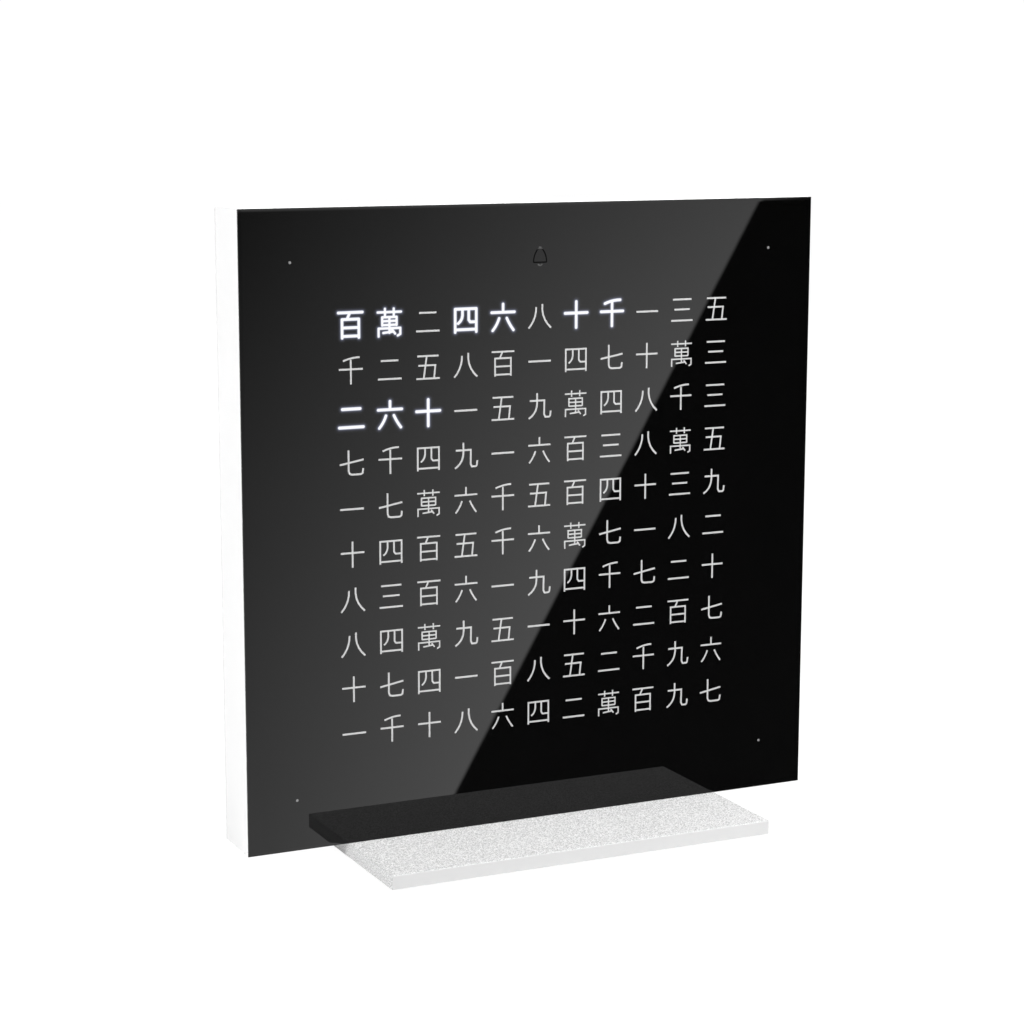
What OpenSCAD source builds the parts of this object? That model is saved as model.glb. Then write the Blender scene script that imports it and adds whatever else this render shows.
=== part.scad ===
// Table word clock: a square face of light-up cells on a flat base plate.
// Millimetres. +Z is up, the face looks along -Y, and the origin lies under the middle of the base plate.

/* [Body] */
// Width and height of the square clock body
body_size = 135; // [131:1:150]
// Thickness of the black front cover, a magnet-held steel sheet
cover_t = 0.4; // [0.3:0.1:1.0]
// Depth of the white housing behind the cover
housing_depth = 14.25; // [13.5:0.25:18]
// Side wall of the housing
side_wall = 2; // [1.5:0.1:3]
// Rear wall of the housing
rear_wall = 2; // [1.5:0.1:3]
// Outline corner radius of housing and cover
corner_r = 0.2; // [0.1:0.1:2]
// Chamfer round the housing's rear edges
rear_chamfer = 0.5; // [0.2:0.1:1.2]

/* [Base] */
// Width of the base plate
base_w = 90; // [80:1:120]
// Depth of the base plate, front to back
base_depth = 70; // [64:1:90]
// Thickness of the base plate
base_t = 3; // [2.5:0.5:6]
// How far the base plate reaches in front of the face
base_front = 24; // [16:1:30]
// Corner radius of the base plate
base_corner_r = 0.3; // [0.2:0.1:4]
// Chamfer round the base plate's top edges
base_chamfer = 0.15; // [0.1:0.05:0.8]
// Thickness of the anti-slip pad under the base plate
pad_t = 0.5; // [0.3:0.1:2]
// How far the pad stays inside the base plate's edges
pad_inset = 3; // [2:0.5:8]

/* [Cell grid] */
// Number of cell columns
columns = 11; // [9:1:11]
// Number of cell rows
rows = 10; // [8:1:10]
// Distance between column centres
column_pitch = 8.69; // [8:0.01:9]
// Distance between row centres
row_pitch = 9.655; // [9:0.005:9.9]
// Distance of the minute dots from the face's edges
dot_margin = 11; // [10:0.5:12]
// Diameter of the minute dots
dot_d = 0.6; // [0.4:0.1:1.5]
// Distance of the alarm sign's centre from the face's top edge
sign_margin = 11.3; // [10.5:0.1:12]

/* [Light box] */
// Thickness of the opal diffuser sheet
diffuser_t = 0.5; // [0.3:0.1:1]
// Depth of the light baffle, which keeps each cell's light to itself
baffle_h = 4.5; // [4:0.1:5]
// Wall thickness between cells
baffle_wall = 1; // [0.8:0.1:1.4]
// Inner diameter of the baffle's ports behind the minute dots
dot_port_d = 5.2; // [4.8:0.1:5.6]
// Inner width of the baffle's port behind the alarm sign
sign_port_w = 5; // [4.6:0.1:7]
// Inner height of the baffle's port behind the alarm sign
sign_port_h = 5.6; // [4.8:0.1:6]
// Lamp package width
led_w = 3.5; // [2:0.1:3.6]
// Lamp package height on the face
led_l = 2.8; // [2:0.1:3]
// Lamp package thickness
led_h = 1.4; // [0.8:0.1:2]
// Diameter of the lamp's round window
led_window_d = 2.4; // [1.2:0.1:2.6]
// Diameter of the two pegs that centre the baffle on the board
peg_d = 2; // [1.5:0.1:2.5]

/* [Circuit board] */
// Thickness of the circuit board
board_t = 1.6; // [1:0.2:2]
// Half the height between the board's screws
board_screw_z = 30; // [24:1:34]
// Shank diameter of the board screws
board_screw_d = 2.4; // [2:0.1:3]
// Head diameter of the board screws
board_screw_head_d = 4.6; // [4:0.1:5]
// Head height of the board screws
board_screw_head_h = 1.8; // [1.2:0.1:2.2]
// Length of the board screws under the head
board_screw_l = 8; // [6:0.5:8.5]
// Outer diameter of the bosses that the board is screwed to
boss_d = 6; // [5:0.1:7]

/* [Cover magnets] */
// Diameter of the magnets that hold the cover
magnet_d = 4; // [3:0.1:5]
// Thickness of the magnets
magnet_t = 2; // [1:0.1:3]
// Height of the magnets above and below the face's centre
magnet_z = 42; // [38:1:48]
// Diameter of the cover's two locating studs
stud_d = 2.4; // [1.6:0.1:3]
// Length of the locating studs
stud_l = 1.6; // [1:0.1:2.5]

/* [Rear buttons] */
// Diameter of the button caps
button_d = 7; // [5:0.1:9]
// Distance between buttons
button_pitch = 18; // [12:1:22]
// Distance of the button row from the body's top edge
button_drop = 24; // [20:1:30]
// How far a cap stands out of the rear wall
button_proud = 0.8; // [0.6:0.1:1.5]
// How far a button travels when pressed
button_travel = 0.5; // [0.2:0.1:0.5]
// Width of the push switch under each button
switch_w = 6; // [5:0.1:7]
// Height of the push switch's case
switch_h = 3.1; // [2.6:0.1:3.3]
// Diameter of the push switch's plunger
plunger_d = 3.3; // [2.5:0.1:3.5]

/* [Power inlet] */
// Height of the inlet above the body's underside
inlet_height = 10; // [9.5:0.5:12]
// Bore of the inlet, for a plug of 3.5 mm
inlet_bore_d = 3.8; // [3.6:0.1:4.2]
// Outer diameter of the inlet's nose in the rear wall
inlet_nose_d = 6.4; // [6:0.1:7.5]
// Length of the inlet, nose included
inlet_l = 10.5; // [9:0.1:11]
// Side of the inlet's square body
inlet_body = 8; // [7.5:0.1:9]
// Diameter of the inlet's centre pin
inlet_pin_d = 1.3; // [1:0.1:1.6]

/* [Base fixing] */
// Distance between the two base screws
base_screw_span = 60; // [40:1:76]
// Shank diameter of the base screws
base_screw_d = 2.9; // [2.4:0.1:3]
// Head diameter of the countersunk base screws
base_screw_head_d = 5.6; // [5:0.1:6]
// Length of the base screws, head included
base_screw_l = 6; // [5:0.5:6.5]
// Outer diameter of the threaded inserts in the housing
insert_d = 4.2; // [4:0.1:4.6]
// Length of the threaded inserts
insert_l = 4; // [3.5:0.1:4.2]

/* [Electronics] */
// Side of the control chip's case
control_chip_w = 9; // [7:0.5:12]
// Height of the control chip
control_chip_h = 1.4; // [1:0.1:2]
// Width of a driver chip's case
driver_chip_w = 10; // [9.5:0.5:13]
// Length of a driver chip's case, without its legs
driver_chip_l = 7.5; // [5:0.5:8]
// Height of the driver chips
driver_chip_h = 2.4; // [1.8:0.1:2.6]
// Width of the clock chip's case
clock_chip_w = 5; // [4.5:0.5:6]
// Length of the clock chip's case, without its legs
clock_chip_l = 4; // [3:0.5:6]
// Height of the clock chip
clock_chip_h = 1.7; // [1.4:0.1:2]
// Width of the voltage regulator's case
regulator_w = 6.5; // [6:0.5:8]
// Height of the voltage regulator
regulator_h = 1.7; // [1.4:0.1:2]
// Width of the quartz crystal's can
crystal_w = 11; // [8:0.5:12]
// Height of the quartz crystal's can
crystal_h = 3.4; // [2:0.1:4]
// Diameter of the backup coin cell
cell_d = 20; // [16:0.5:20]
// Thickness of the backup coin cell
cell_t = 3.2; // [1.6:0.1:3.2]
// Diameter of the alarm sounder
sounder_d = 12; // [9:0.5:14]
// Height of the alarm sounder
sounder_h = 4.2; // [3:0.1:4.6]
// Diameter of the capacitor cans
can_d = 6.3; // [4:0.1:8]
// Height of the capacitors
can_h = 5.2; // [4:0.1:5.4]

/* [Hidden] */
$fn = 48;

// Clearances
slip = 0.1;      // between fixed pieces that drop into each other
screw_gap = 0.3; // round a screw shank in a through hole
press_gap = 0.05; // round a pressed-in insert or a screw in its thread
run_gap = 0.2;   // round a button cap
edge_gap = 0.3;  // between the board and the housing's blocks
eps = 0.01;      // cuts run this far past a face

// Levels along Y, from the face to the back
face_y = base_front - base_depth / 2;
rim_y = face_y + cover_t;
baffle_y = rim_y + diffuser_t;
board_y = baffle_y + baffle_h;
board_back_y = board_y + board_t;
rear_y = rim_y + housing_depth;
rear_inner_y = rear_y - rear_wall;
back_space = rear_inner_y - board_back_y;

// Levels along Z
base_top_z = pad_t + base_t;
face_z = base_top_z + body_size / 2;

// Sizes that follow from the driving ones
inner_half = body_size / 2 - side_wall;
block_w = magnet_d + 2 * 0.6;
board_w = 2 * (inner_half - block_w - edge_gap);
board_h = body_size - 11;
grid_w = columns * column_pitch + baffle_wall;
grid_h = rows * row_pitch + baffle_wall;
ring_x = (grid_w + board_w) / 4;
ring_z = (grid_h + board_h) / 4;
dot_x = body_size / 2 - dot_margin;
sign_z = body_size / 2 - sign_margin;
inlet_z = inlet_height - body_size / 2;
button_z = body_size / 2 - button_drop;
button_x = [for (i = [-1.5 : 1 : 1.5]) i * button_pitch];
base_screw_y = (rim_y + rear_y) / 2;
boss_xz = [for (sx = [-1, 1], sz = [-1, 1]) [sx * ring_x, sz * board_screw_z]];
magnet_xz = [for (sx = [-1, 1], sz = [-1, 1]) [sx * (inner_half - block_w / 2), sz * magnet_z]];
stud_xz = [for (sx = [-1, 1]) [sx * (inner_half - block_w / 2), 0]];
peg_xz = [for (sx = [-1, 1]) [sx * ring_x, 0]];
dot_xz = [for (sx = [-1, 1], sz = [-1, 1]) [sx * dot_x, sz * dot_x]];

// Places on the back of the board: in from its edges (inset), or from the face's centre
driver_inset = 30;
clock_inset = 36;
crystal_inset = 20;
holder_inset = [30, 40];
sounder_inset = [26, 22];
low_row_inset = 16;
upper_chips_z = 12;
low_driver_z = -12;
clock_row_z = -14;
regulator_x = 15;
can_x = -14;
can_pitch = 13;
board_corner = [board_w / 2, -board_h / 2];
control_xz = [0, upper_chips_z];
driver_x = board_corner[0] - driver_inset;
driver_xz = [[-driver_x, upper_chips_z], [driver_x, upper_chips_z], [0, low_driver_z]];
clock_xz = [clock_inset - board_corner[0], clock_row_z];
crystal_xz = [crystal_inset - board_corner[0], clock_row_z];
holder_xz = board_corner + [-holder_inset[0], holder_inset[1]];
sounder_xz = sounder_inset + [-board_corner[0], board_corner[1]];
low_row_z = board_corner[1] + low_row_inset;
regulator_xz = [regulator_x, low_row_z];
can_xz = [for (i = [0, 1]) [can_x, low_row_z + i * can_pitch]];
resistor_row_z = 25;
resistor_count = 16;
resistor_pitch = 3;
resistor_size = [1.2, 2, 0.55];

holder_floor = 0.5; // thickness of the coin cell holder's floor
wide_pitch = 1.27;  // between the legs of the driver and clock chips
fine_pitch = 0.8;   // between the legs of the control chip
tab_pitch = 2.3;    // between the legs of the voltage regulator

// Column and row centres of the cells
function cell_x(c) = (c - (columns - 1) / 2) * column_pitch;
function cell_z(r) = ((rows - 1) / 2 - r) * row_pitch;

// ---- Helpers -------------------------------------------------------------

// A flat shape drawn on the face (x, z from its centre), made solid from y over a thickness t
module layer(y, t) {
    translate([0, y + t, face_z]) rotate([90, 0, 0]) linear_extrude(t) children();
}

// Turns a shape that stands on Z so that it stands on +Y, at a place on the face
module behind(xz, y) {
    translate([xz[0], y, face_z + xz[1]]) rotate([-90, 0, 0]) children();
}

module rounded_square(w, h, r) {
    square([w - 2 * r, h], center = true);
    square([w, h - 2 * r], center = true);
    for (sx = [-1, 1], sy = [-1, 1]) translate([sx * (w / 2 - r), sy * (h / 2 - r)]) circle(r);
}

// A square tube seen from its end
module square_ring(w, h, wall) {
    difference() {
        square([w + 2 * wall, h + 2 * wall], center = true);
        square([w, h], center = true);
    }
}

// A long triangular bar along X that takes a chamfer off an edge at y = 0, z = 0
module chamfer_bar(l, c) {
    translate([-l / 2, 0, 0]) rotate([0, 90, 0]) rotate([0, 0, 45])
        translate([-c / sqrt(2), -c / sqrt(2), 0]) cube([c * sqrt(2), c * sqrt(2), l]);
}

// ---- Front ---------------------------------------------------------------

// Black sheet with the four minute dots drilled through and two studs on its back
module front_cover() {
    color([0.03, 0.03, 0.035]) {
        difference() {
            layer(face_y, cover_t) rounded_square(body_size, body_size, corner_r);
            for (p = dot_xz) behind(p, face_y - eps) cylinder(d = dot_d, h = cover_t + 2 * eps);
        }
        for (p = stud_xz) behind(p, rim_y - eps) cylinder(d = stud_d, h = stud_l + eps);
    }
}

module cover_magnets() {
    color([0.75, 0.75, 0.78]) for (p = magnet_xz) behind(p, rim_y) cylinder(d = magnet_d, h = magnet_t);
}

module diffuser_sheet() {
    color([0.95, 0.95, 0.93]) layer(rim_y, diffuser_t) square([board_w, board_h], center = true);
}

// ---- Light box -----------------------------------------------------------

// Room that the baffle and the board leave for the power inlet, open at their lower edge
module inlet_notch() {
    notch_top = inlet_z + inlet_body / 2 + edge_gap;
    notch_w = inlet_body + 2 * edge_gap;
    translate([-notch_w / 2, -board_h / 2 - 1]) square([notch_w, notch_top + board_h / 2 + 1]);
}

// The baffle's walls, seen from the front
module baffle_walls() {
    side_gap = (board_w - grid_w) / 2;
    top_gap = (board_h - grid_h) / 2;
    difference() {
        square([grid_w, grid_h], center = true);
        for (c = [0 : columns - 1], r = [0 : rows - 1])
            translate([cell_x(c), cell_z(r)])
                square([column_pitch - baffle_wall, row_pitch - baffle_wall], center = true);
    }
    square_ring(board_w - 2 * baffle_wall, board_h - 2 * baffle_wall, baffle_wall);
    for (k = [-2 : 2], s = [-1, 1]) {
        translate([s * ring_x, k * grid_h / 5]) square([side_gap, baffle_wall], center = true);
        translate([k * grid_w / 5, s * ring_z]) square([baffle_wall, top_gap], center = true);
    }
    for (p = dot_xz) translate(p) circle(d = dot_port_d + 2 * baffle_wall);
    for (p = peg_xz) translate(p) circle(d = peg_d + 2 * baffle_wall);
    for (p = boss_xz) translate(p) {
        circle(d = boss_d + baffle_wall);
        square([side_gap, baffle_wall], center = true);
    }
    translate([0, sign_z])
        square([sign_port_w + 2 * baffle_wall, sign_port_h + 2 * baffle_wall], center = true);
}

// Black moulding with one open cell for each letter place, ports for the dots and the alarm sign,
// sleeves for the board screws and two pegs that centre it on the board
module light_baffle() {
    head_seat = board_screw_head_h + slip;
    color([0.12, 0.12, 0.13]) {
        difference() {
            layer(baffle_y, baffle_h) difference() {
                baffle_walls();
                for (p = dot_xz) translate(p) circle(d = dot_port_d);
                for (p = boss_xz) translate(p) circle(d = board_screw_d + screw_gap);
                translate([0, sign_z]) square([sign_port_w, sign_port_h], center = true);
                inlet_notch();
            }
            for (p = boss_xz) behind(p, baffle_y - eps)
                cylinder(d = board_screw_head_d + 2 * screw_gap, h = head_seat + eps);
        }
        for (p = peg_xz) behind(p, board_y - eps) cylinder(d = peg_d, h = board_t + eps);
    }
}

module led() {
    difference() {
        translate([-led_w / 2, -led_h, -led_l / 2]) cube([led_w, led_h, led_l]);
        translate([0, -led_h - eps, 0]) rotate([-90, 0, 0]) cylinder(d = led_window_d, h = 0.3 + eps);
    }
}

// One lamp in each cell, one behind each minute dot and one behind the alarm sign
module leds() {
    color([0.98, 0.95, 0.75]) translate([0, board_y, face_z]) {
        for (c = [0 : columns - 1], r = [0 : rows - 1]) translate([cell_x(c), 0, cell_z(r)]) led();
        for (p = dot_xz) translate([p[0], 0, p[1]]) led();
        translate([0, 0, sign_z]) led();
    }
}

module led_board() {
    color([0.93, 0.93, 0.9]) layer(board_y, board_t) difference() {
        square([board_w, board_h], center = true);
        for (p = boss_xz) translate(p) circle(d = board_screw_d + screw_gap);
        for (p = peg_xz) translate(p) circle(d = peg_d + 2 * slip);
        inlet_notch();
    }
}

module board_screws() {
    head_y = baffle_y + slip;
    color([0.6, 0.6, 0.62]) for (p = boss_xz) behind(p, head_y) difference() {
        union() {
            cylinder(d = board_screw_head_d, h = board_screw_head_h);
            cylinder(d = board_screw_d, h = board_screw_head_h + board_screw_l);
        }
        for (a = [0, 90]) rotate([0, 0, a]) translate([-1.3, -0.3, -eps]) cube([2.6, 0.6, 0.9]);
    }
}

// ---- Electronics on the back of the board --------------------------------

// A flat chip with a row of legs along each of the given sides, named by the turn from the far side
module chip(w, l, h, legs, pitch, sides = [0, 180]) {
    leg_w = 0.4;
    leg_reach = 1.2;
    leg_t = 0.2;
    lift = 0.1;
    translate([-w / 2, -l / 2, lift]) cube([w, l, h - lift]);
    for (a = sides) rotate([0, 0, a])
        for (i = [0 : legs - 1]) translate([(i - (legs - 1) / 2) * pitch - leg_w / 2, l / 2 - eps, 0]) {
            cube([leg_w, leg_reach / 2 + eps, h / 2]);
            cube([leg_w, leg_reach, leg_t]);
        }
}

module control_chip() {
    color([0.1, 0.1, 0.1]) behind(control_xz, board_back_y)
        chip(control_chip_w, control_chip_w, control_chip_h, 8, fine_pitch, [0, 90, 180, 270]);
}

module driver_chips() {
    color([0.1, 0.1, 0.1]) for (p = driver_xz) behind(p, board_back_y)
        chip(driver_chip_w, driver_chip_l, driver_chip_h, 8, wide_pitch);
}

module clock_chip() {
    color([0.1, 0.1, 0.1]) behind(clock_xz, board_back_y)
        chip(clock_chip_w, clock_chip_l, clock_chip_h, 4, wide_pitch);
}

// Flat oval metal can on a thin foot
module quartz_crystal() {
    can_l = 4.6;
    foot_edge = 0.2;
    color([0.8, 0.8, 0.8]) behind(crystal_xz, board_back_y) {
        linear_extrude(0.5) square([crystal_w + 4 * foot_edge, can_l + 2 * foot_edge], center = true);
        linear_extrude(crystal_h) rounded_square(crystal_w, can_l, can_l / 2 - 0.1);
    }
}

// Small power chip: three legs on one side and a wide tab on the other
module voltage_regulator() {
    case_l = 3.5;
    tab_w = 3;
    tab_reach = 3;
    color([0.1, 0.1, 0.1]) behind(regulator_xz, board_back_y) {
        chip(regulator_w, case_l, regulator_h, 3, tab_pitch, [0]);
        translate([-tab_w / 2, -tab_reach, 0]) cube([tab_w, tab_reach - case_l / 2 + eps, 0.3]);
    }
}

module capacitors() {
    foot = can_d + 0.3;
    color([0.78, 0.78, 0.8]) for (p = can_xz) behind(p, board_back_y) {
        translate([-foot / 2, -foot / 2, 0]) cube([foot, foot, 0.8]);
        cylinder(d = can_d, h = can_h);
    }
}

module chip_resistors() {
    color([0.15, 0.15, 0.17]) for (i = [0 : resistor_count - 1])
        behind([(i - (resistor_count - 1) / 2) * resistor_pitch, resistor_row_z], board_back_y)
            linear_extrude(resistor_size[2]) square([resistor_size[0], resistor_size[1]], center = true);
}

// Round tray with a finger gap and two clips over the cell's rim
module cell_holder() {
    wall = 1.2;
    clip_t = 0.7;
    clip_w = 3;
    bore = cell_d + 2 * slip;
    rim = holder_floor + cell_t + slip;
    color([0.14, 0.14, 0.14]) behind(holder_xz, board_back_y) {
        difference() {
            cylinder(d = bore + 2 * wall, h = rim);
            translate([0, 0, holder_floor]) cylinder(d = bore, h = rim);
            translate([-4, bore / 2 - 2, holder_floor]) cube([8, wall + 3, rim]);
        }
        for (s = [-1, 1]) translate([s * (bore / 2 + wall - clip_w / 2) - clip_w / 2, -2, rim - eps])
            cube([clip_w, 4, clip_t + eps]);
    }
}

module backup_cell() {
    color([0.85, 0.85, 0.86]) behind(holder_xz, board_back_y + holder_floor) {
        cylinder(d = cell_d * 0.88, h = cell_t);
        translate([0, 0, 0.3]) cylinder(d = cell_d, h = cell_t - 0.3);
    }
}

module sounder() {
    color([0.08, 0.08, 0.08]) behind(sounder_xz, board_back_y) difference() {
        cylinder(d = sounder_d, h = sounder_h);
        translate([0, 0, sounder_h - 1]) cylinder(d = 2.4, h = 1 + eps);
    }
}

// Foam ring that leads the sound to the holes in the rear wall
module sounder_gasket() {
    color([0.2, 0.2, 0.2]) behind(sounder_xz, board_back_y + sounder_h) difference() {
        cylinder(d = sounder_d, h = back_space - sounder_h);
        translate([0, 0, -eps]) cylinder(d = sounder_d - 3, h = back_space - sounder_h + 2 * eps);
    }
}

// ---- Power inlet ---------------------------------------------------------

// Round nose through the rear wall, square body against its inner face, two lugs soldered to the board
module power_inlet() {
    color([0.12, 0.12, 0.12]) difference() {
        union() {
            behind([0, inlet_z], rear_y - inlet_l) cylinder(d = inlet_nose_d, h = inlet_l);
            translate([-inlet_body / 2, rear_y - inlet_l, face_z + inlet_z - inlet_body / 2])
                cube([inlet_body, inlet_l - rear_wall, inlet_body]);
            translate([-inlet_body / 2 - 3, board_back_y, face_z + inlet_z - 1.5])
                cube([inlet_body + 6, 0.8, 3]);
        }
        behind([0, inlet_z], rear_y - inlet_l + 1) cylinder(d = inlet_bore_d, h = inlet_l);
    }
}

module inlet_pin() {
    color([0.85, 0.7, 0.35]) behind([0, inlet_z], rear_y - inlet_l + 1)
        cylinder(d = inlet_pin_d, h = inlet_l - 1 - 1.5);
}

// ---- Rear buttons --------------------------------------------------------

stop_gap = 0.2; // room left under a pressed plunger
flange_t = 0.8; // of the cap's flange, which rests on the rear wall's inner face
plunger_reach = 0.8; // of a plunger out of its case
stem_y = board_back_y + switch_h + plunger_reach;

module switch_cases() {
    hole = switch_h - 0.7;
    color([0.15, 0.15, 0.15]) for (x = button_x) behind([x, button_z], board_back_y) difference() {
        translate([-switch_w / 2, -switch_w / 2, 0]) cube([switch_w, switch_w, switch_h]);
        translate([0, 0, switch_h - hole]) cylinder(d = plunger_d + 2 * slip, h = hole + eps);
    }
}

module plunger(i) {
    sunk = switch_h - 0.7 - button_travel - stop_gap;
    color([0.5, 0.5, 0.52]) behind([button_x[i], button_z], stem_y - plunger_reach - sunk)
        cylinder(d = plunger_d, h = plunger_reach + sunk);
}

// Cap with a shallow dish, a chamfered edge, an inner flange and a stem down to the plunger
module button(i) {
    top = rear_y + button_proud - stem_y;
    flange_z = rear_inner_y - flange_t - stem_y;
    cap_r = button_d / 2;
    edge = 0.3;
    dish = 0.25;
    color([0.9, 0.9, 0.9]) behind([button_x[i], button_z], stem_y) rotate_extrude() polygon([
        [0, 0], [plunger_d / 2, 0], [plunger_d / 2, flange_z], [cap_r + 1, flange_z],
        [cap_r + 1, flange_z + flange_t], [cap_r, flange_z + flange_t],
        [cap_r, top - edge], [cap_r - edge, top], [cap_r - 2 * edge, top], [cap_r - 4 * edge, top - dish],
        [0, top - dish]
    ]);
}

module hour_button() { button(0); }
module hour_plunger() { plunger(0); }
module minute_button() { button(1); }
module minute_plunger() { plunger(1); }
module dimmer_button() { button(2); }
module dimmer_plunger() { plunger(2); }
module alarm_button() { button(3); }
module alarm_plunger() { plunger(3); }

// ---- Housing -------------------------------------------------------------

// Sound holes in the rear wall: one in the middle and six round it
module sound_holes() {
    for (a = [0 : 60 : 300]) translate(sounder_xz + 2.6 * [cos(a), sin(a)]) circle(d = 1.4);
    translate(sounder_xz) circle(d = 1.4);
}

module insert_holes(d, h) {
    for (s = [-1, 1]) translate([s * base_screw_span / 2, base_screw_y, base_top_z - eps])
        cylinder(d = d, h = h + eps);
}

// White tray, open at the front, with the bosses, blocks and holes moulded in
module housing() {
    block_l = rear_inner_y - rim_y;
    insert_boss = insert_l + 1.2;
    color([0.96, 0.96, 0.96]) difference() {
        union() {
            difference() {
                layer(rim_y, housing_depth) rounded_square(body_size, body_size, corner_r);
                layer(rim_y - eps, block_l + eps) square(2 * inner_half, center = true);
            }
            for (p = magnet_xz) layer(rim_y, block_l + eps) translate(p)
                square([block_w, block_w + 1.6], center = true);
            for (p = stud_xz) layer(rim_y, block_l + eps) translate(p)
                square([block_w, block_w + 0.8], center = true);
            for (p = boss_xz) behind(p, board_back_y) cylinder(d = boss_d, h = back_space + eps);
            insert_holes(insert_d + 3.2, insert_boss);
        }
        for (p = magnet_xz) behind(p, rim_y - eps) cylinder(d = magnet_d + slip, h = magnet_t + eps);
        for (p = stud_xz) behind(p, rim_y - eps) cylinder(d = stud_d + 2 * slip, h = stud_l + slip + eps);
        for (p = boss_xz) behind(p, board_back_y - eps)
            cylinder(d = board_screw_d + 2 * press_gap, h = back_space - 0.4 + eps);
        for (x = button_x) behind([x, button_z], rear_inner_y - eps)
            cylinder(d = button_d + 2 * run_gap, h = rear_wall + 2 * eps);
        behind([0, inlet_z], rear_inner_y - eps)
            cylinder(d = inlet_nose_d + 2 * slip, h = rear_wall + 2 * eps);
        layer(rear_inner_y - eps, rear_wall + 2 * eps) sound_holes();
        insert_holes(insert_d + 2 * press_gap, insert_l);
        for (a = [0 : 90 : 270]) translate([0, rear_y, face_z]) rotate([0, a, 0])
            translate([0, 0, body_size / 2]) chamfer_bar(body_size + 2, rear_chamfer);
    }
}

// ---- Base ----------------------------------------------------------------

module base_inserts() {
    color([0.8, 0.65, 0.3]) difference() {
        for (s = [-1, 1]) translate([s * base_screw_span / 2, base_screw_y, base_top_z])
            cylinder(d = insert_d, h = insert_l);
        insert_holes(base_screw_d + 2 * press_gap, insert_l + eps);
    }
}

// A countersunk shape: a 90 degree head at z = 0 that narrows up to the shank
module countersunk(head_d, shank_d, l) {
    cylinder(d1 = head_d, d2 = shank_d, h = (head_d - shank_d) / 2);
    cylinder(d = shank_d, h = l);
}

module base_plate() {
    hole_gap = 2 * press_gap;
    color([0.92, 0.92, 0.92]) difference() {
        translate([0, 0, pad_t]) linear_extrude(base_t) rounded_square(base_w, base_depth, base_corner_r);
        for (s = [-1, 1]) translate([s * base_screw_span / 2, base_screw_y, pad_t - eps])
            countersunk(base_screw_head_d + hole_gap + 2 * eps, base_screw_d + screw_gap, base_t + 1);
        for (s = [-1, 1]) {
            translate([0, s * base_depth / 2, base_top_z]) chamfer_bar(base_w + 2, base_chamfer);
            translate([s * base_w / 2, 0, base_top_z]) rotate([0, 0, 90])
                chamfer_bar(base_depth + 2, base_chamfer);
        }
    }
}

module base_screws() {
    color([0.6, 0.6, 0.62]) for (s = [-1, 1])
        translate([s * base_screw_span / 2, base_screw_y, pad_t]) difference() {
            countersunk(base_screw_head_d, base_screw_d, base_screw_l);
            for (a = [0, 90]) rotate([0, 0, a]) translate([-1.3, -0.3, -eps]) cube([2.6, 0.6, 0.9]);
        }
}

module base_pad() {
    color([0.8, 0.8, 0.8]) difference() {
        linear_extrude(pad_t) rounded_square(base_w - 2 * pad_inset, base_depth - 2 * pad_inset, 3);
        for (s = [-1, 1]) translate([s * base_screw_span / 2, base_screw_y, -eps])
            cylinder(d = base_screw_head_d + 2, h = pad_t + 2 * eps);
    }
}

front_cover();
cover_magnets();
diffuser_sheet();
light_baffle();
leds();
led_board();
board_screws();
control_chip();
driver_chips();
clock_chip();
quartz_crystal();
voltage_regulator();
capacitors();
chip_resistors();
cell_holder();
backup_cell();
sounder();
sounder_gasket();
power_inlet();
inlet_pin();
switch_cases();
housing();
hour_button();
hour_plunger();
minute_button();
minute_plunger();
dimmer_button();
dimmer_plunger();
alarm_button();
alarm_plunger();
base_inserts();
base_plate();
base_screws();
base_pad();
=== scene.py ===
"""Table word clock: a glossy black face with light-up numerals, a slim white body and a speckled base.
Metres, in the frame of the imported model: +Z is up and the face looks along -Y."""
import math

import bmesh
import bpy
from mathutils import Matrix, Vector


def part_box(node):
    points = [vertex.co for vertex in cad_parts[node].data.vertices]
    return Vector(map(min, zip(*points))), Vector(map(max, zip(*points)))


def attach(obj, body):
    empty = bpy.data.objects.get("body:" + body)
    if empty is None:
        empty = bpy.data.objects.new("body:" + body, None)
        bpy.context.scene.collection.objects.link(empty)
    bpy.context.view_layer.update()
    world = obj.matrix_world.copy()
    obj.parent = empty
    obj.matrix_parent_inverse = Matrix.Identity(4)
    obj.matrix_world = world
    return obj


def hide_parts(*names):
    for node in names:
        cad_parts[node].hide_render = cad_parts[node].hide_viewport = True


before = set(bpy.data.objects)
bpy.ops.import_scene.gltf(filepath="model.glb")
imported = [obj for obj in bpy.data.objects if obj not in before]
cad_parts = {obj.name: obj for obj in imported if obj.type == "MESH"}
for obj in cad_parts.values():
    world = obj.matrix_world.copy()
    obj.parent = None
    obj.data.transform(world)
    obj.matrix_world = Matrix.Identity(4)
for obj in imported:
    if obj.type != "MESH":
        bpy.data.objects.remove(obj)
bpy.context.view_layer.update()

MM = 0.001
scene = bpy.context.scene

# ---- Places taken from the frame -------------------------------------------

cover_low, cover_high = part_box("front_cover")
housing_low, housing_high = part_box("housing")
base_low, base_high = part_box("base_plate")
FACE_Y = cover_low.y
RIM_Y = housing_low.y
FACE_SIZE = cover_high.x - cover_low.x
FACE_Z = (cover_low.z + cover_high.z) / 2
STUD_L = cover_high.y - RIM_Y

# ---- Sizes of the face's own detail ----------------------------------------

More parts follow.
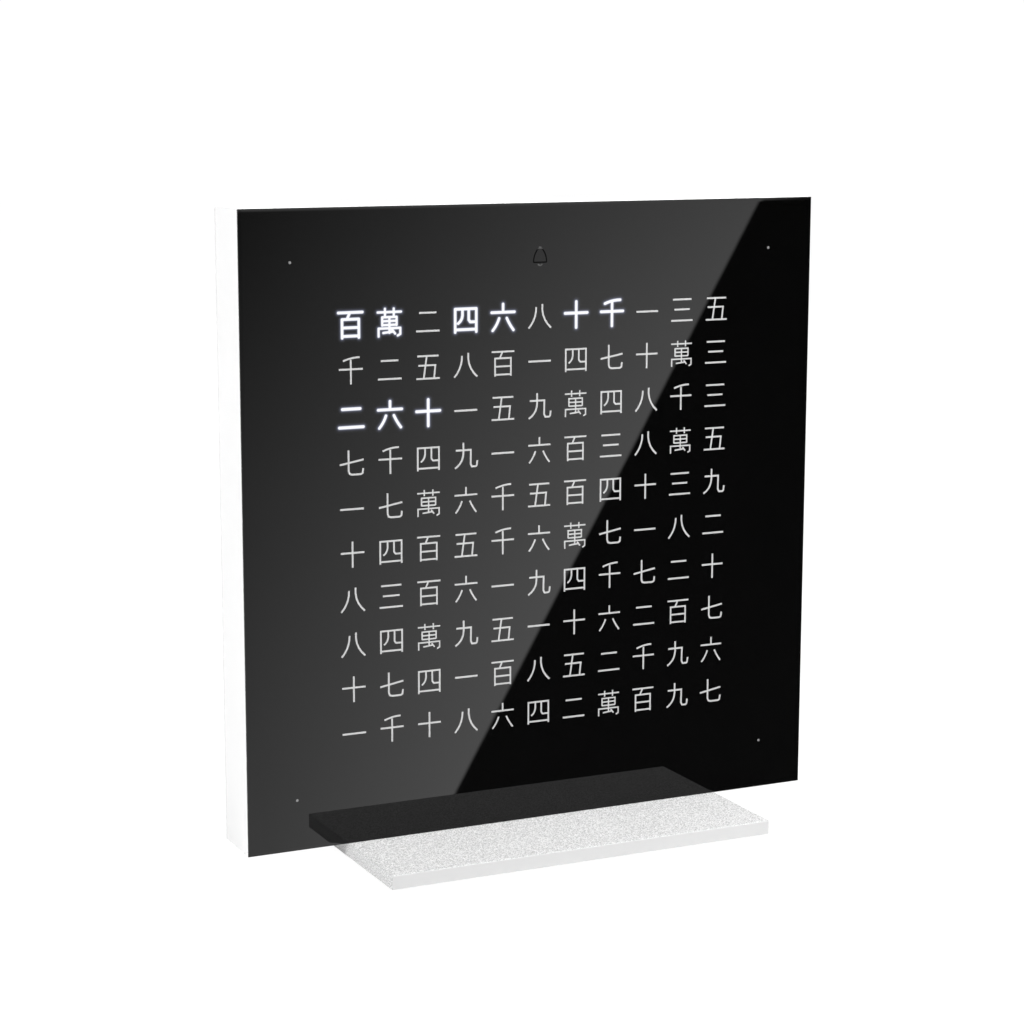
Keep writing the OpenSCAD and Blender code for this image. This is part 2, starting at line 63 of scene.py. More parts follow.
COLUMNS, ROWS = 11, 10
COLUMN_PITCH, ROW_PITCH = 8.69 * MM, 9.655 * MM
NUMERAL_SIZE = 5.8 * MM      # side of the square that a numeral is drawn in
DOT_MARGIN, DOT_D = 11 * MM, 0.6 * MM
SIGN_MARGIN = 11.3 * MM      # from the face's top edge to the alarm sign's centre
SIGN_H = 4.3 * MM
SIGN_STROKE_W = 0.30 * MM
STROKE_W_START = 0.42        # a numeral's strokes are this wide, in mm,
STROKE_W_STEP = 0.01         # less this for each of its strokes
SHARP_TURN = 0.3             # cosine under which a stroke's turn gets a square corner
RIM_ROUND_W = 0.75 * MM      # the face's front edges are rounded over this width
RIM_ROUND_H = 0.12 * MM      # and this depth
RIM_SEGMENTS = 6
CORNER_CUT = 1 * MM          # extra cuts this far from the corners keep the gloss flat between them
STUD_D, STUD_EDGE = 2.4 * MM, 4.6 * MM
OVERLAP = 0.1 * MM           # how far solids that are joined run into each other
OVERCUT = 0.5 * MM           # how far a cutter stands out of what it cuts
OPENING_STRETCH = 3          # the openings are cut with solids this many times as thick as the cover
ROUND_SIDES, DOT_SIDES, JOINT_SIDES = 24, 16, 12
GLOW_REACH = 1.1 * MM        # how far a lit numeral's glow is drawn beyond its strokes
GLOW_CORE = 0.84             # half the breadth of the glow's solid core, in stroke widths
GLOW_CELL = 0.125 * MM       # mesh size of the glow film
GLOW_GAP = 0.02 * MM         # the glow film lies this far in front of the face

# Rows and columns of the numerals that are lit.
LIT_CELLS = [(0, 0), (0, 1), (0, 3), (0, 4), (0, 6), (0, 7), (2, 0), (2, 1), (2, 2)]


# ---- Numerals ---------------------------------------------------------------

def curved(start, end, sag, steps=5):
    """Points from start to end along an arch that bulges to its left by sag of its length."""
    (x0, y0), (x1, y1) = start, end
    points = []
    for step in range(steps + 1):
        t = step / steps
        lift = 4 * sag * t * (1 - t)
        x = x0 + (x1 - x0) * t - (y1 - y0) * lift
        y = y0 + (y1 - y0) * t + (x1 - x0) * lift
        points.append((x, y))
    return points


def level(half, y):
    """A level stroke through x = 0."""
    return [(-half, y), (half, y)]


# The strokes of the numbers from one to ten, a hundred, a thousand and ten thousand, in a unit square.
NUMERALS = [
    [level(.46, 0)],
    [level(.34, .30), level(.46, -.36)],
    [level(.40, .40), level(.33, .02), level(.46, -.40)],
    [[(-.42, -.46), (-.42, .38), (.42, .38), (.42, -.46)], level(.42, -.37),
     [(-.13, .38)] + curved((-.13, .14), (-.30, -.14), .12, 3),
     [(.12, .38), (.12, -.02), (.18, -.10), (.42, -.10)]],
    [level(.42, .40), [(-.05, .40), (-.17, -.42)], [(-.38, .06), (.29, .06), (.24, -.42)],
     level(.46, -.42)],
    [[(0, .50), (0, .20)], level(.46, .20), curved((-.16, -.02), (-.42, -.46), .05),
     curved((.15, -.02), (.42, -.46), -.03)],
    [[(-.46, -.04), (.46, .12)],
     [(-.12, .48), (-.12, -.28), (-.08, -.38), (.02, -.41), (.36, -.41), (.42, -.37), (.44, -.20)]],
    [curved((-.15, .34), (-.46, -.44), .10), curved((.10, .44), (.46, -.44), -.13)],
    [[(-.40, .20), (.20, .20), (.19, -.32), (.24, -.42), (.40, -.42), (.44, -.38), (.46, -.20)],
     [(-.10, .48)] + curved((-.10, .10), (-.44, -.46), .14)],
    [level(.46, .06), [(0, .48), (0, -.48)]],
    [level(.46, .42), [(-.02, .42), (-.12, .20)], [(-.32, -.48), (-.32, .18), (.32, .18), (.32, -.48)],
     level(.32, -.12), level(.32, -.42)],
    [curved((.34, .48), (-.30, .36), -.05), level(.46, .06), [(0, .40), (0, -.48)]],
    [level(.45, .38), [(-.17, .50), (-.17, .27)], [(.17, .50), (.17, .27)],
     [(-.28, -.09), (-.28, .20), (.28, .20), (.28, -.09)], level(.28, .06), level(.28, -.08),
     [(0, .20), (0, -.36)],
     [(-.42, -.48), (-.42, -.20), (.42, -.20), (.42, -.42), (.32, -.47)], [(-.24, -.36), (.16, -.32)],
     [(.10, -.25), (.22, -.40)]],
]

# A bell as a plain alarm sign, in a square as high as the sign: dome, rim, clapper and knob.
BELL = [
    curved((-.17, .30), (.17, .30), .32, 6), curved((-.17, .30), (-.36, -.30), -.08, 4),
    curved((.17, .30), (.36, -.30), .08, 4), curved((-.12, -.38), (.12, -.38), -.32, 4),
    [(-.36, -.30), (.36, -.30)], [(-.08, .44), (.08, .44)],
]


FIRST_NUMERAL = 10   # place in the list of the top left cell's numeral
FIRST_STRIDE = 2     # the top row steps through the list by this many, and each row below by one more


def numeral_number(row, col):
    """Which numeral a cell holds. Each row also starts further on in the list than the one above it."""
    return (col * (row + FIRST_STRIDE) + row * row + FIRST_NUMERAL) % len(NUMERALS)


def cell_centre(row, col):
    return (col - (COLUMNS - 1) / 2) * COLUMN_PITCH, FACE_Z + ((ROWS - 1) / 2 - row) * ROW_PITCH


def stroke_width(strokes):
    """The more strokes a numeral has, the narrower they are."""
    return (STROKE_W_START - STROKE_W_STEP * len(strokes)) * MM


def placed(strokes, centre, size):
    """Strokes drawn in a unit square, as points (x, z) on the face."""
    return [[(centre[0] + x * size, centre[1] + y * size) for x, y in stroke] for stroke in strokes]


def dot_centres():
    reach = FACE_SIZE / 2 - DOT_MARGIN
    return [(sx * reach, FACE_Z + sz * reach) for sx in (-1, 1) for sz in (-1, 1)]


# ---- Mesh helpers -----------------------------------------------------------

STAND_UP = Matrix.Rotation(math.radians(90), 4, "X")  # turns what faces +Z to face the front


def block(bm, low, high):
    """A box between two corners."""
    low, high = Vector(low), Vector(high)
    place = Matrix.Translation((low + high) / 2) @ Matrix.Diagonal((*(high - low), 1))
    bmesh.ops.create_cube(bm, size=1, matrix=place)


def peg(bm, centre, diameter, front, back, sides=ROUND_SIDES):
    """A round bar along Y at a place (x, z) on the face."""
    place = Matrix.Translation((centre[0], (front + back) / 2, centre[1])) @ STAND_UP
    radius = diameter / 2
    bmesh.ops.create_cone(bm, cap_ends=True, segments=sides, radius1=radius, radius2=radius,
                          depth=back - front, matrix=place)


def bar(bm, start, end, width, front, back):
    """A straight bar of a stroke between two places (x, z) on the face."""
    along = Vector((end[0] - start[0], end[1] - start[1]))
    middle = ((start[0] + end[0]) / 2, (front + back) / 2, (start[1] + end[1]) / 2)
    turn = Matrix.Rotation(-math.atan2(along.y, along.x), 4, "Y")
    size = Matrix.Diagonal((along.length, back - front, width, 1))
    bmesh.ops.create_cube(bm, size=1, matrix=Matrix.Translation(middle) @ turn @ size)


def stroke(bm, points, width, front, back):
    """A stroke with flat ends: square corners where it turns sharply, round joints where it bends."""
    places = [Vector(point) for point in points]
    for index in range(len(places) - 1):
        start, end = places[index], places[index + 1]
        along = (end - start).normalized()
        if index > 0 and square_corner(places, index):
            start = start - along * width / 2
        if index + 2 < len(places) and square_corner(places, index + 1):
            end = end + along * width / 2
        elif index + 2 < len(places):
            peg(bm, end, width, front, back, JOINT_SIDES)
        bar(bm, start, end, width, front, back)


def square_corner(places, index):
    before = (places[index] - places[index - 1]).normalized()
    after = (places[index + 1] - places[index]).normalized()
    return abs(before.dot(after)) < SHARP_TURN


def mesh_object(name, bm):
    mesh = bpy.data.meshes.new(name)
    bm.to_mesh(mesh)
    bm.free()
    piece = bpy.data.objects.new(name, mesh)
    scene.collection.objects.link(piece)
    return piece


def combine(piece, cutter, operation, crossing=False):
    """Applies a boolean to a piece's mesh and removes the cutter. With crossing, the cutter's own solids
    may cross each other."""
    modifier = piece.modifiers.new("combine", "BOOLEAN")
    modifier.operation = operation
    modifier.object = cutter
    modifier.solver = "EXACT"
    modifier.use_self = crossing
    shown = piece.evaluated_get(bpy.context.evaluated_depsgraph_get())
    mesh = bpy.data.meshes.new_from_object(shown)
    piece.modifiers.clear()
    piece.data = mesh
    mesh.name = piece.name
    bpy.data.objects.remove(cutter)


def finished(piece, finish, body="clock"):
    """Gives a new piece its finish and the body that it rides on."""
    piece.data.materials.clear()
    piece.data.materials.append(finish)
    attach(piece, body)


# ---- Shader helpers ---------------------------------------------------------

class Value:
    """A socket of a shader, so that maths on it can be written as a Python expression."""

    def __init__(self, shader, socket):
        self.shader, self.socket = shader, socket

    def maths(self, operation, *values):
        return self.shader.node("Math", {"operation": operation}, dict(enumerate(values)))

    def __add__(self, other):
        return self.maths("ADD", self, other)

    def __sub__(self, other):
        return self.maths("SUBTRACT", self, other)

    def __rsub__(self, other):
        return self.maths("SUBTRACT", other, self)

    def __mul__(self, other):
        return self.maths("MULTIPLY", self, other)

    def __truediv__(self, other):
        return self.maths("DIVIDE", self, other)

    def __rpow__(self, other):
        return self.maths("POWER", other, self)

    def __abs__(self):
        return self.maths("ABSOLUTE", self)

    def square_root(self):
        return self.maths("SQRT", self)

    def at_least(self, other):
        return self.maths("MAXIMUM", self, other)

    def at_most(self, other):
        return self.maths("MINIMUM", self, other)

    __rmul__ = __mul__


COLOUR_A, COLOUR_B, COLOUR_RESULT = 6, 7, 2  # a Mix node's sockets for colours


class Shader:
    """The node tree of a material or of the world."""

    def __init__(self, tree):
        self.tree = tree
        tree.nodes.clear()

    def node(self, kind, settings=None, inputs=None, out=0):
        made = self.tree.nodes.new("ShaderNode" + kind)
        for name, setting in (settings or {}).items():
            setattr(made, name, setting)
        for name, value in (inputs or {}).items():
            if isinstance(value, Value):
                self.tree.links.new(value.socket, made.inputs[name])
            else:
                made.inputs[name].default_value = value
        return Value(self, made.outputs[out]) if made.outputs else made

    def place(self):
        return self.node("TexCoord", out="Object")

    def axis(self, name, vector):
        return self.node("SeparateXYZ", inputs={"Vector": vector}, out=name)

    def noise(self, size, detail=2.0, roughness=0.5):
        """Noise from 0 to 1 whose lumps are about size metres across."""
        inputs = {"Vector": self.place(), "Scale": 1 / size, "Detail": detail, "Roughness": roughness}
        return self.node("TexNoise", inputs=inputs)

    def ramp(self, value, low, high, smooth=True):
        """0 below low and 1 above high."""
        settings = {"interpolation_type": "SMOOTHSTEP" if smooth else "LINEAR"}
        return self.node("MapRange", settings, {"Value": value, "From Min": low, "From Max": high})

    def tint(self, factor, dark, light):
        """A colour between two, by a factor from 0 to 1."""
        inputs = {"Factor": factor, COLOUR_A: (*dark, 1), COLOUR_B: (*light, 1)}
        return self.node("Mix", {"data_type": "RGBA"}, inputs, out=COLOUR_RESULT)

    def bump(self, height, depth, strength):
        """A normal from a height of 0 to 1 that stands for depth metres."""
        return self.node("Bump", inputs={"Height": height, "Distance": depth, "Strength": strength})


def grey(value):
    return (value, value, value)


def scaled(colour, factor):
    return tuple(min(1.0, channel * factor) for channel in colour)


def material(name, **sockets):
    """A new material with a Principled surface. Each socket is set from a function of the shader or from a
    plain value."""
    made = bpy.data.materials.new(name)
    made.use_nodes = True
    shader = Shader(made.node_tree)
    inputs = {}
    for key, value in sockets.items():
        inputs[key.replace("_", " ")] = value(shader) if callable(value) else value
    surface = shader.node("BsdfPrincipled", inputs=inputs)
    shader.node("OutputMaterial", inputs={"Surface": surface})
    return made


# ---- Finishes ---------------------------------------------------------------

def plain_finish(name, colour, rough, metal=0.0, grain=0.6 * MM, spread=0.08, depth=0.01 * MM):
    """An even finish: colour and roughness vary by spread, and the fine grain is depth deep."""
    dark, light = scaled(colour, 1 - spread), scaled(colour, 1 + spread)
    return material(
        name,
        Base_Color=lambda s: s.tint(s.noise(grain * 3, 3), dark, light),
        Roughness=lambda s: s.noise(grain, 3) * (2 * spread) + (rough - spread),
        Normal=lambda s: s.bump(s.noise(grain, 4), depth, 0.6),
        Metallic=metal)


GLOSS_IOR = 1.357


def gloss_black():
    """Deep black lacquer with a mirror gloss and a very faint orange peel."""
    return material(
        "gloss_black",
        Base_Color=lambda s: s.tint(s.noise(9 * MM, 2), grey(0.0015), grey(0.0021)),
        Normal=lambda s: s.bump(s.noise(6 * MM, 1), 0.0004 * MM, 0.5),
        Roughness=0.0,
        IOR=GLOSS_IOR)


def unlit_window():
    """Pale translucent filling of a numeral's opening, flush with the gloss around it."""
    return material(
        "unlit_window",
        Base_Color=lambda s: s.tint(s.noise(1.2 * MM, 2), grey(0.58), grey(0.66)),
        Roughness=0.05,
        IOR=GLOSS_IOR)


def dot_window():
    return material(
        "dot_window",
        Base_Color=lambda s: s.tint(s.noise(0.4 * MM, 2), grey(0.22), grey(0.30)),
        Roughness=0.15)


def sign_window():
    """Smoked filling of the alarm sign: dark sides, and a painted highlight that makes knob and clapper
    paler.
    """
    sign_z = FACE_Z + FACE_SIZE / 2 - SIGN_MARGIN

    def colour(s):
        # Painted highlight: the sign's top and bottom ends, knob and clapper, are paler where glints off
        # the cut edges would be.
        painted_glint = s.ramp(abs(s.axis("Z", s.place()) - sign_z), 0.33 * SIGN_H, 0.40 * SIGN_H)
        return s.tint(painted_glint * (s.noise(0.5 * MM, 1) * 0.5 + 0.5), grey(0.004), grey(0.13))

    return material("sign_window", Base_Color=colour, Roughness=0.5, Specular_IOR_Level=0.03)


def lit_window():
    """A numeral's opening with its lamp on."""
    return material(
        "lit_window",
        Base_Color=grey(0.8) + (1,),
        Roughness=0.3,
        Emission_Color=lambda s: s.tint(s.noise(2 * MM, 1), (0.97, 0.98, 1.0), grey(1.0)),
        Emission_Strength=1.0)


def light_glow():
    """Light that spills round a lit numeral: solid to just beyond its strokes, then a bluish halo."""
    halo = 0.27            # the halo's strength where it leaves the core
    fade = 0.165 * MM      # over this distance it falls to 1/e
    core_soft = 0.02 * MM  # half the softness of the core's edge
    # Depths inside the core between which the blue goes over into white.
    bluest, whitest = -0.10 * MM, 0.16 * MM

    def beyond_core(s):
        return s.node("Attribute", {"attribute_name": "beyond_core"}, out="Fac")

    def strength(s):
        beyond = beyond_core(s)
        core = s.ramp(beyond * -1, -core_soft, core_soft, False)
        return core.at_least(halo * math.e ** (beyond.at_least(0) / -fade))

    def colour(s):
        return s.tint(s.ramp(beyond_core(s) * -1, bluest, whitest), (0.68, 0.73, 1.0), grey(1.0))

    return material(
        "light_glow",
        Base_Color=grey(0.0) + (1,),
        Specular_IOR_Level=0.0,
        Alpha=strength,
        Emission_Color=colour,
        Emission_Strength=1.0)


def housing_white():
    """White moulded plastic with a fine grain, and a painted shade along its rear edges: a slightly grey
    line in the colour that stands in for the shading of their rounded rim.
    """
    rear = housing_high.y

    def colour(s):
        y = s.axis("Y", s.place())
        # Painted shade: a slightly grey band just in front of the rear chamfer, standing in for a rounded
        # rim's shading.
        painted_rim_shade = s.ramp(y, rear - 1.0 * MM, rear - 0.9 * MM)
        painted_rim_shade = painted_rim_shade * (1 - s.ramp(y, rear - 0.05 * MM, rear - 0.02 * MM))
        return s.tint((s.noise(14 * MM, 3) * 0.2 + 0.8) * (1 - painted_rim_shade), grey(0.74), grey(0.94))

    return material(
        "housing_white",
        Base_Color=colour,
        Roughness=lambda s: s.noise(0.5 * MM, 3) * 0.12 + 0.42,
        Normal=lambda s: s.bump(s.noise(0.35 * MM, 3), 0.006 * MM, 0.6),
        IOR=1.45)


def base_speckle():
    """White blasted plate: fine bright and dark grains on top and sides, plain front and rear edges."""
    middle = (base_low.y + base_high.y) / 2
    half = (base_high.y - base_low.y) / 2
    plain_level = 0.57   # where the plain edges lie between the dark and the bright grains

    def grains(s):
        edge = s.ramp(abs(s.axis("Y", s.place()) - middle), half - 0.12 * MM, half - 0.04 * MM)
        grain = s.ramp(s.noise(0.30 * MM, 1, 0.6), 0.38, 0.62, False)
        return grain * (1 - edge) + edge * plain_level

    return material(
        "base_speckle",
        Base_Color=lambda s: s.tint(grains(s), grey(0.52), grey(0.99)),
        Roughness=lambda s: grains(s) * -0.2 + 0.6,
        Normal=lambda s: s.bump(grains(s), 0.05 * MM, 0.6),
        Specular_IOR_Level=0.25)


def apply_to_nodes(finish, slot, *nodes):
    """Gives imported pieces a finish. Their meshes stay as they are."""
    for name in nodes:
        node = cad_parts[name]
        node.data.materials.clear()
        node.data.materials.append(finish)


# ---- Pieces -----------------------------------------------------------------

def all_cells():
    return [(row, col) for row in range(ROWS) for col in range(COLUMNS)]


def window_shape(strokes, size, width):
    """The mesh of one numeral or sign round the origin: its joined strokes, as thick as the cover."""
    sheet = bmesh.new()
    block(sheet, (-size, FACE_Y, -size), (size, RIM_Y, size))
    shape = mesh_object("shape", sheet)
    cutter = bmesh.new()
    for points in placed(strokes, (0, 0), size):
        stroke(cutter, points, width, FACE_Y - OVERCUT, RIM_Y + OVERCUT)
    combine(shape, mesh_object("cutter", cutter), "INTERSECT", crossing=True)
    mesh = shape.data
    bpy.data.objects.remove(shape)
    return mesh


def set_out(shapes):
    """A bmesh with a copy of each shape's mesh at its place (x, z) on the face."""
    bm = bmesh.new()
    for mesh, (x, z) in shapes:
        first = len(bm.verts)
        bm.from_mesh(mesh)
        bm.verts.ensure_lookup_table()
        bmesh.ops.translate(bm, vec=(x, 0, z), verts=bm.verts[first:])
    return bm


def cut_across(bm, place, normal):
    """Cuts the faces of a mesh where a plane crosses them."""
    geometry = bm.verts[:] + bm.edges[:] + bm.faces[:]
    bmesh.ops.bisect_plane(bm, geom=geometry, plane_co=place, plane_no=normal)


def cover_slab():
    """The black sheet before its openings: sharp corners, and front edges rounded wider than deep."""
    stretch = RIM_ROUND_W / RIM_ROUND_H
    bm = bmesh.new()
    low = (cover_low.x, FACE_Y * stretch, cover_low.z)
    high = (cover_high.x, RIM_Y * stretch, cover_high.z)
    block(bm, low, high)
    front_end = (FACE_Y + RIM_ROUND_H) * stretch
    rim = [edge for edge in bm.edges if all(vert.co.y < front_end for vert in edge.verts)]
    rounded = bmesh.ops.bevel(bm, geom=rim, offset=RIM_ROUND_W, offset_type="OFFSET", affect="EDGES",
                              segments=RIM_SEGMENTS, profile=0.5, material=-1)
    for face in rounded["faces"]:
        face.smooth = True
    bmesh.ops.scale(bm, vec=(1, 1 / stretch, 1), verts=bm.verts)
    near_corner = FACE_SIZE / 2 - CORNER_CUT
    between_columns = [(col - COLUMNS / 2) * COLUMN_PITCH for col in range(1, COLUMNS)]
    between_rows = [(ROWS / 2 - row) * ROW_PITCH for row in range(ROWS + 1)]
    for x in between_columns + [-near_corner, near_corner]:
        cut_across(bm, (x, 0, 0), (1, 0, 0))
    for z in between_rows + [-near_corner, near_corner]:
        cut_across(bm, (0, 0, FACE_Z + z), (0, 0, 1))
    return mesh_object("cover_plate", bm)


def cover_plate(shapes):
    """The glossy sheet with its two studs and with real openings for numerals, alarm sign and dots."""
    cover = cover_slab()
    studs = bmesh.new()
    for side in (-1, 1):
        centre = (side * (FACE_SIZE / 2 - STUD_EDGE), FACE_Z)
        peg(studs, centre, STUD_D, RIM_Y - OVERLAP, RIM_Y + STUD_L)
    combine(cover, mesh_object("cutter", studs), "UNION")
    openings = set_out(shapes)
    for centre in dot_centres():
        peg(openings, centre, DOT_D, FACE_Y, RIM_Y, DOT_SIDES)
    to_middle = Matrix.Translation((0, -(FACE_Y + RIM_Y) / 2, 0))
    bmesh.ops.scale(openings, vec=(1, OPENING_STRETCH, 1), space=to_middle, verts=openings.verts)
    combine(cover, mesh_object("cutter", openings), "DIFFERENCE")
    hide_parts("front_cover")
    finished(cover, gloss_black())


def face():
    """The cover and what fills its openings."""
    shapes = [window_shape(strokes, NUMERAL_SIZE, stroke_width(strokes)) for strokes in NUMERALS]
    bell = (window_shape(BELL, SIGN_H, SIGN_STROKE_W), (0, FACE_Z + FACE_SIZE / 2 - SIGN_MARGIN))
    cells = {cell: (shapes[numeral_number(*cell)], cell_centre(*cell)) for cell in all_cells()}
    cover_plate([*cells.values(), bell])
    unlit = set_out([shape for cell, shape in cells.items() if cell not in LIT_CELLS])
    lit = set_out([cells[cell] for cell in LIT_CELLS])
    dots = bmesh.new()
    for centre in dot_centres():
        peg(dots, centre, DOT_D, FACE_Y, RIM_Y, DOT_SIDES)
    finished(mesh_object("unlit_numerals", unlit), unlit_window())
    finished(mesh_object("lit_numerals", lit), lit_window())
    finished(mesh_object("alarm_sign", set_out([bell])), sign_window())
    finished(mesh_object("minute_dots", dots), dot_window())


def distance_to(strokes, x, z):
    """Distance from a place on the face to the nearest stroke's middle line."""
    spot = Vector((x, z))
    nearest = math.inf
    for points in strokes:
        for start, end in zip(points, points[1:]):
            start, along = Vector(start), Vector(end) - Vector(start)
            share = max(0.0, min(1.0, (spot - start).dot(along) / along.length_squared))
            nearest = min(nearest, (spot - start - along * share).length)
    return nearest


def glow_film():
    """A film in front of each lit numeral that carries its glow, with the distance to the glow's core."""
    half = NUMERAL_SIZE / 2 + GLOW_REACH
    steps = round(2 * half / GLOW_CELL)
    bm = bmesh.new()
    beyond = bm.verts.layers.float.new("beyond_core")
    for row, col in LIT_CELLS:
        x, z = cell_centre(row, col)
        numeral = NUMERALS[numeral_number(row, col)]
        core = GLOW_CORE * stroke_width(numeral)
        strokes = placed(numeral, (x, z), NUMERAL_SIZE)
        place = Matrix.Translation((x, FACE_Y - GLOW_GAP, z)) @ STAND_UP
        made = bmesh.ops.create_grid(bm, x_segments=steps, y_segments=steps, size=half, matrix=place)
        for vert in made["verts"]:
            vert[beyond] = distance_to(strokes, vert.co.x, vert.co.z) - core
    finished(mesh_object("light_glow", bm), light_glow())


def dress_nodes():
    """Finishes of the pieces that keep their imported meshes."""
    apply_to_nodes(housing_white(), "white_shell", "housing")
    apply_to_nodes(base_speckle(), "base_white", "base_plate")
    rubber = plain_finish("pad_rubber", grey(0.62), 0.75, grain=0.8 * MM, depth=0.05 * MM)
    apply_to_nodes(rubber, "pad_grey", "base_pad")
    buttons = plain_finish("button_white", grey(0.86), 0.4, spread=0.03)
    apply_to_nodes(buttons, "button_white", "hour_button", "minute_button", "dimmer_button", "alarm_button")
    plungers = plain_finish("plunger_grey", grey(0.25), 0.5)
    apply_to_nodes(plungers, "plunger_grey",
                   "hour_plunger", "minute_plunger", "dimmer_plunger", "alarm_plunger")
    nickel = plain_finish("magnet_nickel", (0.66, 0.65, 0.62), 0.25, 1.0)
    apply_to_nodes(nickel, "nickel", "cover_magnets")
    sheet = plain_finish("opal_sheet", grey(0.85), 0.35, spread=0.03)
    apply_to_nodes(sheet, "opal", "diffuser_sheet")
    apply_to_nodes(plain_finish("baffle_black", grey(0.02), 0.6), "black_plastic", "light_baffle")
    phosphor = plain_finish("lamp_phosphor", (0.88, 0.80, 0.42), 0.3, spread=0.05)
    apply_to_nodes(phosphor, "lamp", "leds")
    board = plain_finish("board_white", (0.78, 0.79, 0.74), 0.35, spread=0.04)
    apply_to_nodes(board, "board", "led_board")
    steel = plain_finish("screw_steel", (0.52, 0.52, 0.54), 0.3, 1.0)
    apply_to_nodes(steel, "steel", "board_screws", "base_screws", "backup_cell", "quartz_crystal")
    chips = plain_finish("chip_black", grey(0.022), 0.5)
    apply_to_nodes(chips, "chip_black", "control_chip", "driver_chips", "clock_chip", "voltage_regulator",
                   "chip_resistors", "sounder")
    aluminium = plain_finish("can_aluminium", (0.70, 0.70, 0.72), 0.3, 1.0)
    apply_to_nodes(aluminium, "can_aluminium", "capacitors")
    holders = plain_finish("holder_black", grey(0.025), 0.45)
    apply_to_nodes(holders, "black_plastic", "cell_holder", "switch_cases", "power_inlet")
    foam = plain_finish("foam_grey", grey(0.06), 0.95, grain=0.9 * MM, depth=0.2 * MM)
    apply_to_nodes(foam, "foam", "sounder_gasket")
    brass = plain_finish("pin_brass", (0.72, 0.52, 0.22), 0.25, 1.0)
    apply_to_nodes(brass, "brass", "inlet_pin", "base_inserts")


# ---- Studio -----------------------------------------------------------------

BACKDROP_WHITE = 1.02   # so that no pixel of the backdrop falls short of white
FLOOR_WHITE = 1.135     # the same for the floor, where it is only mixed in
FLOOR_SHARE = 0.85      # share of the floor's white that no shadow darkens
FLOOR_HALF = 3          # half the floor's side
AMBIENT = 0.30          # what a surface sees of the room when it is lit

# What the gloss mirrors, by the direction it looks in. A panel in front of the clock brightens along
# PANEL_RISE. Its strength is that of the reflection in the photograph over the face's own reflectance.
FACE_REFLECTANCE = 0.0231
FACE_BLACK = 0.0020     # what the lacquer itself gives back
PANEL_RISE = (1.1561, -0.8918, -0.6643)
PANEL_START = 1.1673
PANEL_DARKEST, PANEL_BRIGHTEST = 0.147, 2.91
PANEL_LEFT = 0.32       # beyond these directions the panel goes on as it is at them
PANEL_LOW, PANEL_HIGH = -0.31, -0.045
FLAG_NORMAL = (0.75559, 0.48327, -0.44220)  # plane of the dark flag's edge
FLAG_SOFT = 0.0010      # half the softness of that edge
FLAG_LIGHT = 0.062      # strength of the flag at PANEL_LOW, from none at PANEL_HIGH
WALL_LIGHT = 1.89       # strength of the white walls and of the light above the panel
ABOVE_RISE = (-0.03, 0.30)
ABOVE_FADE = (0.516, 0.537)  # over these the light above the panel loses ABOVE_LOSS of its strength
ABOVE_LOSS = 0.9
LEFT_WALL, RIGHT_WALL = (0.70, 0.92), (0.93, 0.99)
REAR_WALL = (-0.35, -0.15)
TABLE_EDGE = (0.60, 0.80)


def room():
    """White to the camera. The gloss sees a panel beside a dark flag, white walls and a white table."""
    world = bpy.data.worlds.new("room")
    scene.world = world
    world.use_nodes = True
    s = Shader(world.node_tree)
    direction = s.node("TexCoord", out="Generated")
    x, y, z = (s.axis(name, direction) for name in "XYZ")
    panel_x = x.at_least(PANEL_LEFT)
    panel_z = z.at_most(PANEL_HIGH).at_least(PANEL_LOW)
    panel_y = (1 - panel_x * panel_x - panel_z * panel_z).square_root() * -1
    risen = panel_x * PANEL_RISE[0] + panel_y * PANEL_RISE[1] + panel_z * PANEL_RISE[2]
    root = (risen - PANEL_START).at_least(0)
    panel = (root * root - FACE_BLACK) / FACE_REFLECTANCE
    panel = panel.at_most(PANEL_BRIGHTEST).at_least(PANEL_DARKEST)
    beyond = panel_x * FLAG_NORMAL[0] + panel_y * FLAG_NORMAL[1] + panel_z * FLAG_NORMAL[2]
    flagged = s.ramp(beyond, -FLAG_SOFT, FLAG_SOFT)
    flag = s.ramp(panel_z * -1, -PANEL_HIGH, -PANEL_LOW, False) * FLAG_LIGHT
    front = panel * (1 - flagged) + flag * flagged
    above = s.ramp(z, *ABOVE_RISE, False) * (1 - s.ramp(x, *ABOVE_FADE) * ABOVE_LOSS)
    sides = s.ramp(x * -1, *LEFT_WALL).at_least(s.ramp(x, *RIGHT_WALL))
    white = above.at_least(sides).at_least(s.ramp(y, *REAR_WALL))
    table = s.ramp(z * -1, *TABLE_EDGE)
    seen_in_gloss = (front * (1 - white) + white * WALL_LIGHT) * (1 - table) + table
    camera_ray = s.node("LightPath", out="Is Camera Ray")
    glossy_ray = s.node("LightPath", out="Is Glossy Ray")
    backdrop = camera_ray.at_least(s.node("LightPath", out="Is Transmission Ray"))
    lit = seen_in_gloss * glossy_ray + (1 - glossy_ray) * AMBIENT
    strength = backdrop * BACKDROP_WHITE + (1 - backdrop) * lit
    back = s.node("Background", inputs={"Color": (1, 1, 1, 1), "Strength": strength})
    s.node("OutputWorld", inputs={"Surface": back})


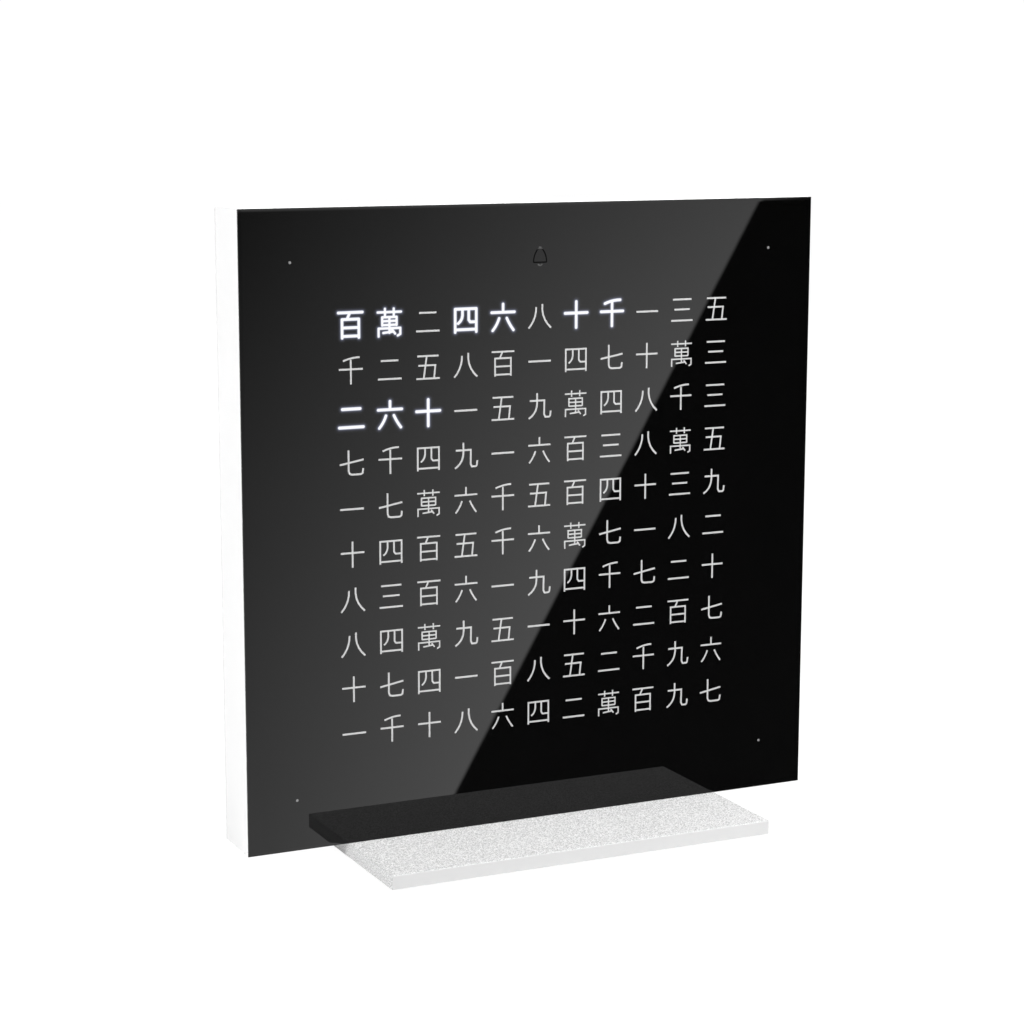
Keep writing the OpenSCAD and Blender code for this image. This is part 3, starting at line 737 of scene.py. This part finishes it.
def floor():
    """A white floor that matches the backdrop, with a faint contact shadow, and clear from below."""
    bm = bmesh.new()
    bmesh.ops.create_grid(bm, x_segments=1, y_segments=1, size=FLOOR_HALF)
    piece = mesh_object("floor", bm)
    made = bpy.data.materials.new("floor_white")
    made.use_nodes = True
    s = Shader(made.node_tree)
    camera_ray = s.node("LightPath", out="Is Camera Ray")
    under = s.node("NewGeometry", out="Backfacing")
    lit = s.node("BsdfDiffuse", inputs={"Color": (*grey(0.86), 1)})
    white = s.node("Emission", inputs={"Color": (1, 1, 1, 1), "Strength": FLOOR_WHITE})
    clear = s.node("BsdfTransparent")
    shown = s.node("MixShader", inputs={0: camera_ray * FLOOR_SHARE, 1: lit, 2: white})
    surface = s.node("MixShader", inputs={0: under, 1: shown, 2: clear})
    s.node("OutputMaterial", inputs={"Surface": surface})
    piece.data.materials.append(made)
    piece.visible_glossy = False


def soft_lamp(name, place, aim, size, power):
    """A square soft lamp that the gloss doesn't show."""
    light = bpy.data.lights.new(name, "AREA")
    light.shape = "SQUARE"
    light.size = size
    light.energy = power
    lamp = bpy.data.objects.new(name, light)
    lamp.location = place
    lamp.rotation_euler = (Vector(aim) - Vector(place)).to_track_quat("-Z", "Y").to_euler()
    lamp.visible_glossy = False
    scene.collection.objects.link(lamp)


# Name, place, what the lamp is aimed at, the side of its square and its power in watts.
LAMPS = [
    ("overhead", (0.35, -0.38, 1.0), (0, 0, 0.03), 0.5, 6.1),
    ("near", (0.45, -0.21, 0.50), (0, -0.02, 0.0), 0.3, 2.45),
    ("side", (-0.9, -0.15, 0.40), (0, 0, 0.06), 0.5, 3.6),
    ("rear", (0.15, 0.95, 0.55), (0, 0, 0.07), 0.5, 2.7),
]


CAMERA_PLACE = Vector((-230.074, -478.675, 163.788)) * MM
CAMERA_AIM = Vector((0.4247581, 0.888535, -0.1734534))
CAMERA_ROLL = math.radians(0.1054)
CAMERA_LENS, CAMERA_SENSOR = 85.988, 36   # mm


def camera():
    lens = bpy.data.cameras.new("camera")
    lens.lens = CAMERA_LENS
    lens.sensor_width = CAMERA_SENSOR
    lens.clip_start = 0.01
    made = bpy.data.objects.new("camera", lens)
    aim = CAMERA_AIM.to_track_quat("-Z", "Y").to_matrix().to_4x4()
    turn = aim @ Matrix.Rotation(CAMERA_ROLL, 4, "Z")
    made.matrix_world = Matrix.Translation(CAMERA_PLACE) @ turn
    scene.collection.objects.link(made)
    scene.camera = made


camera()
room()
floor()
for lamp in LAMPS:
    soft_lamp(*lamp)
face()
glow_film()
dress_nodes()
scene.view_settings.view_transform = "Standard"
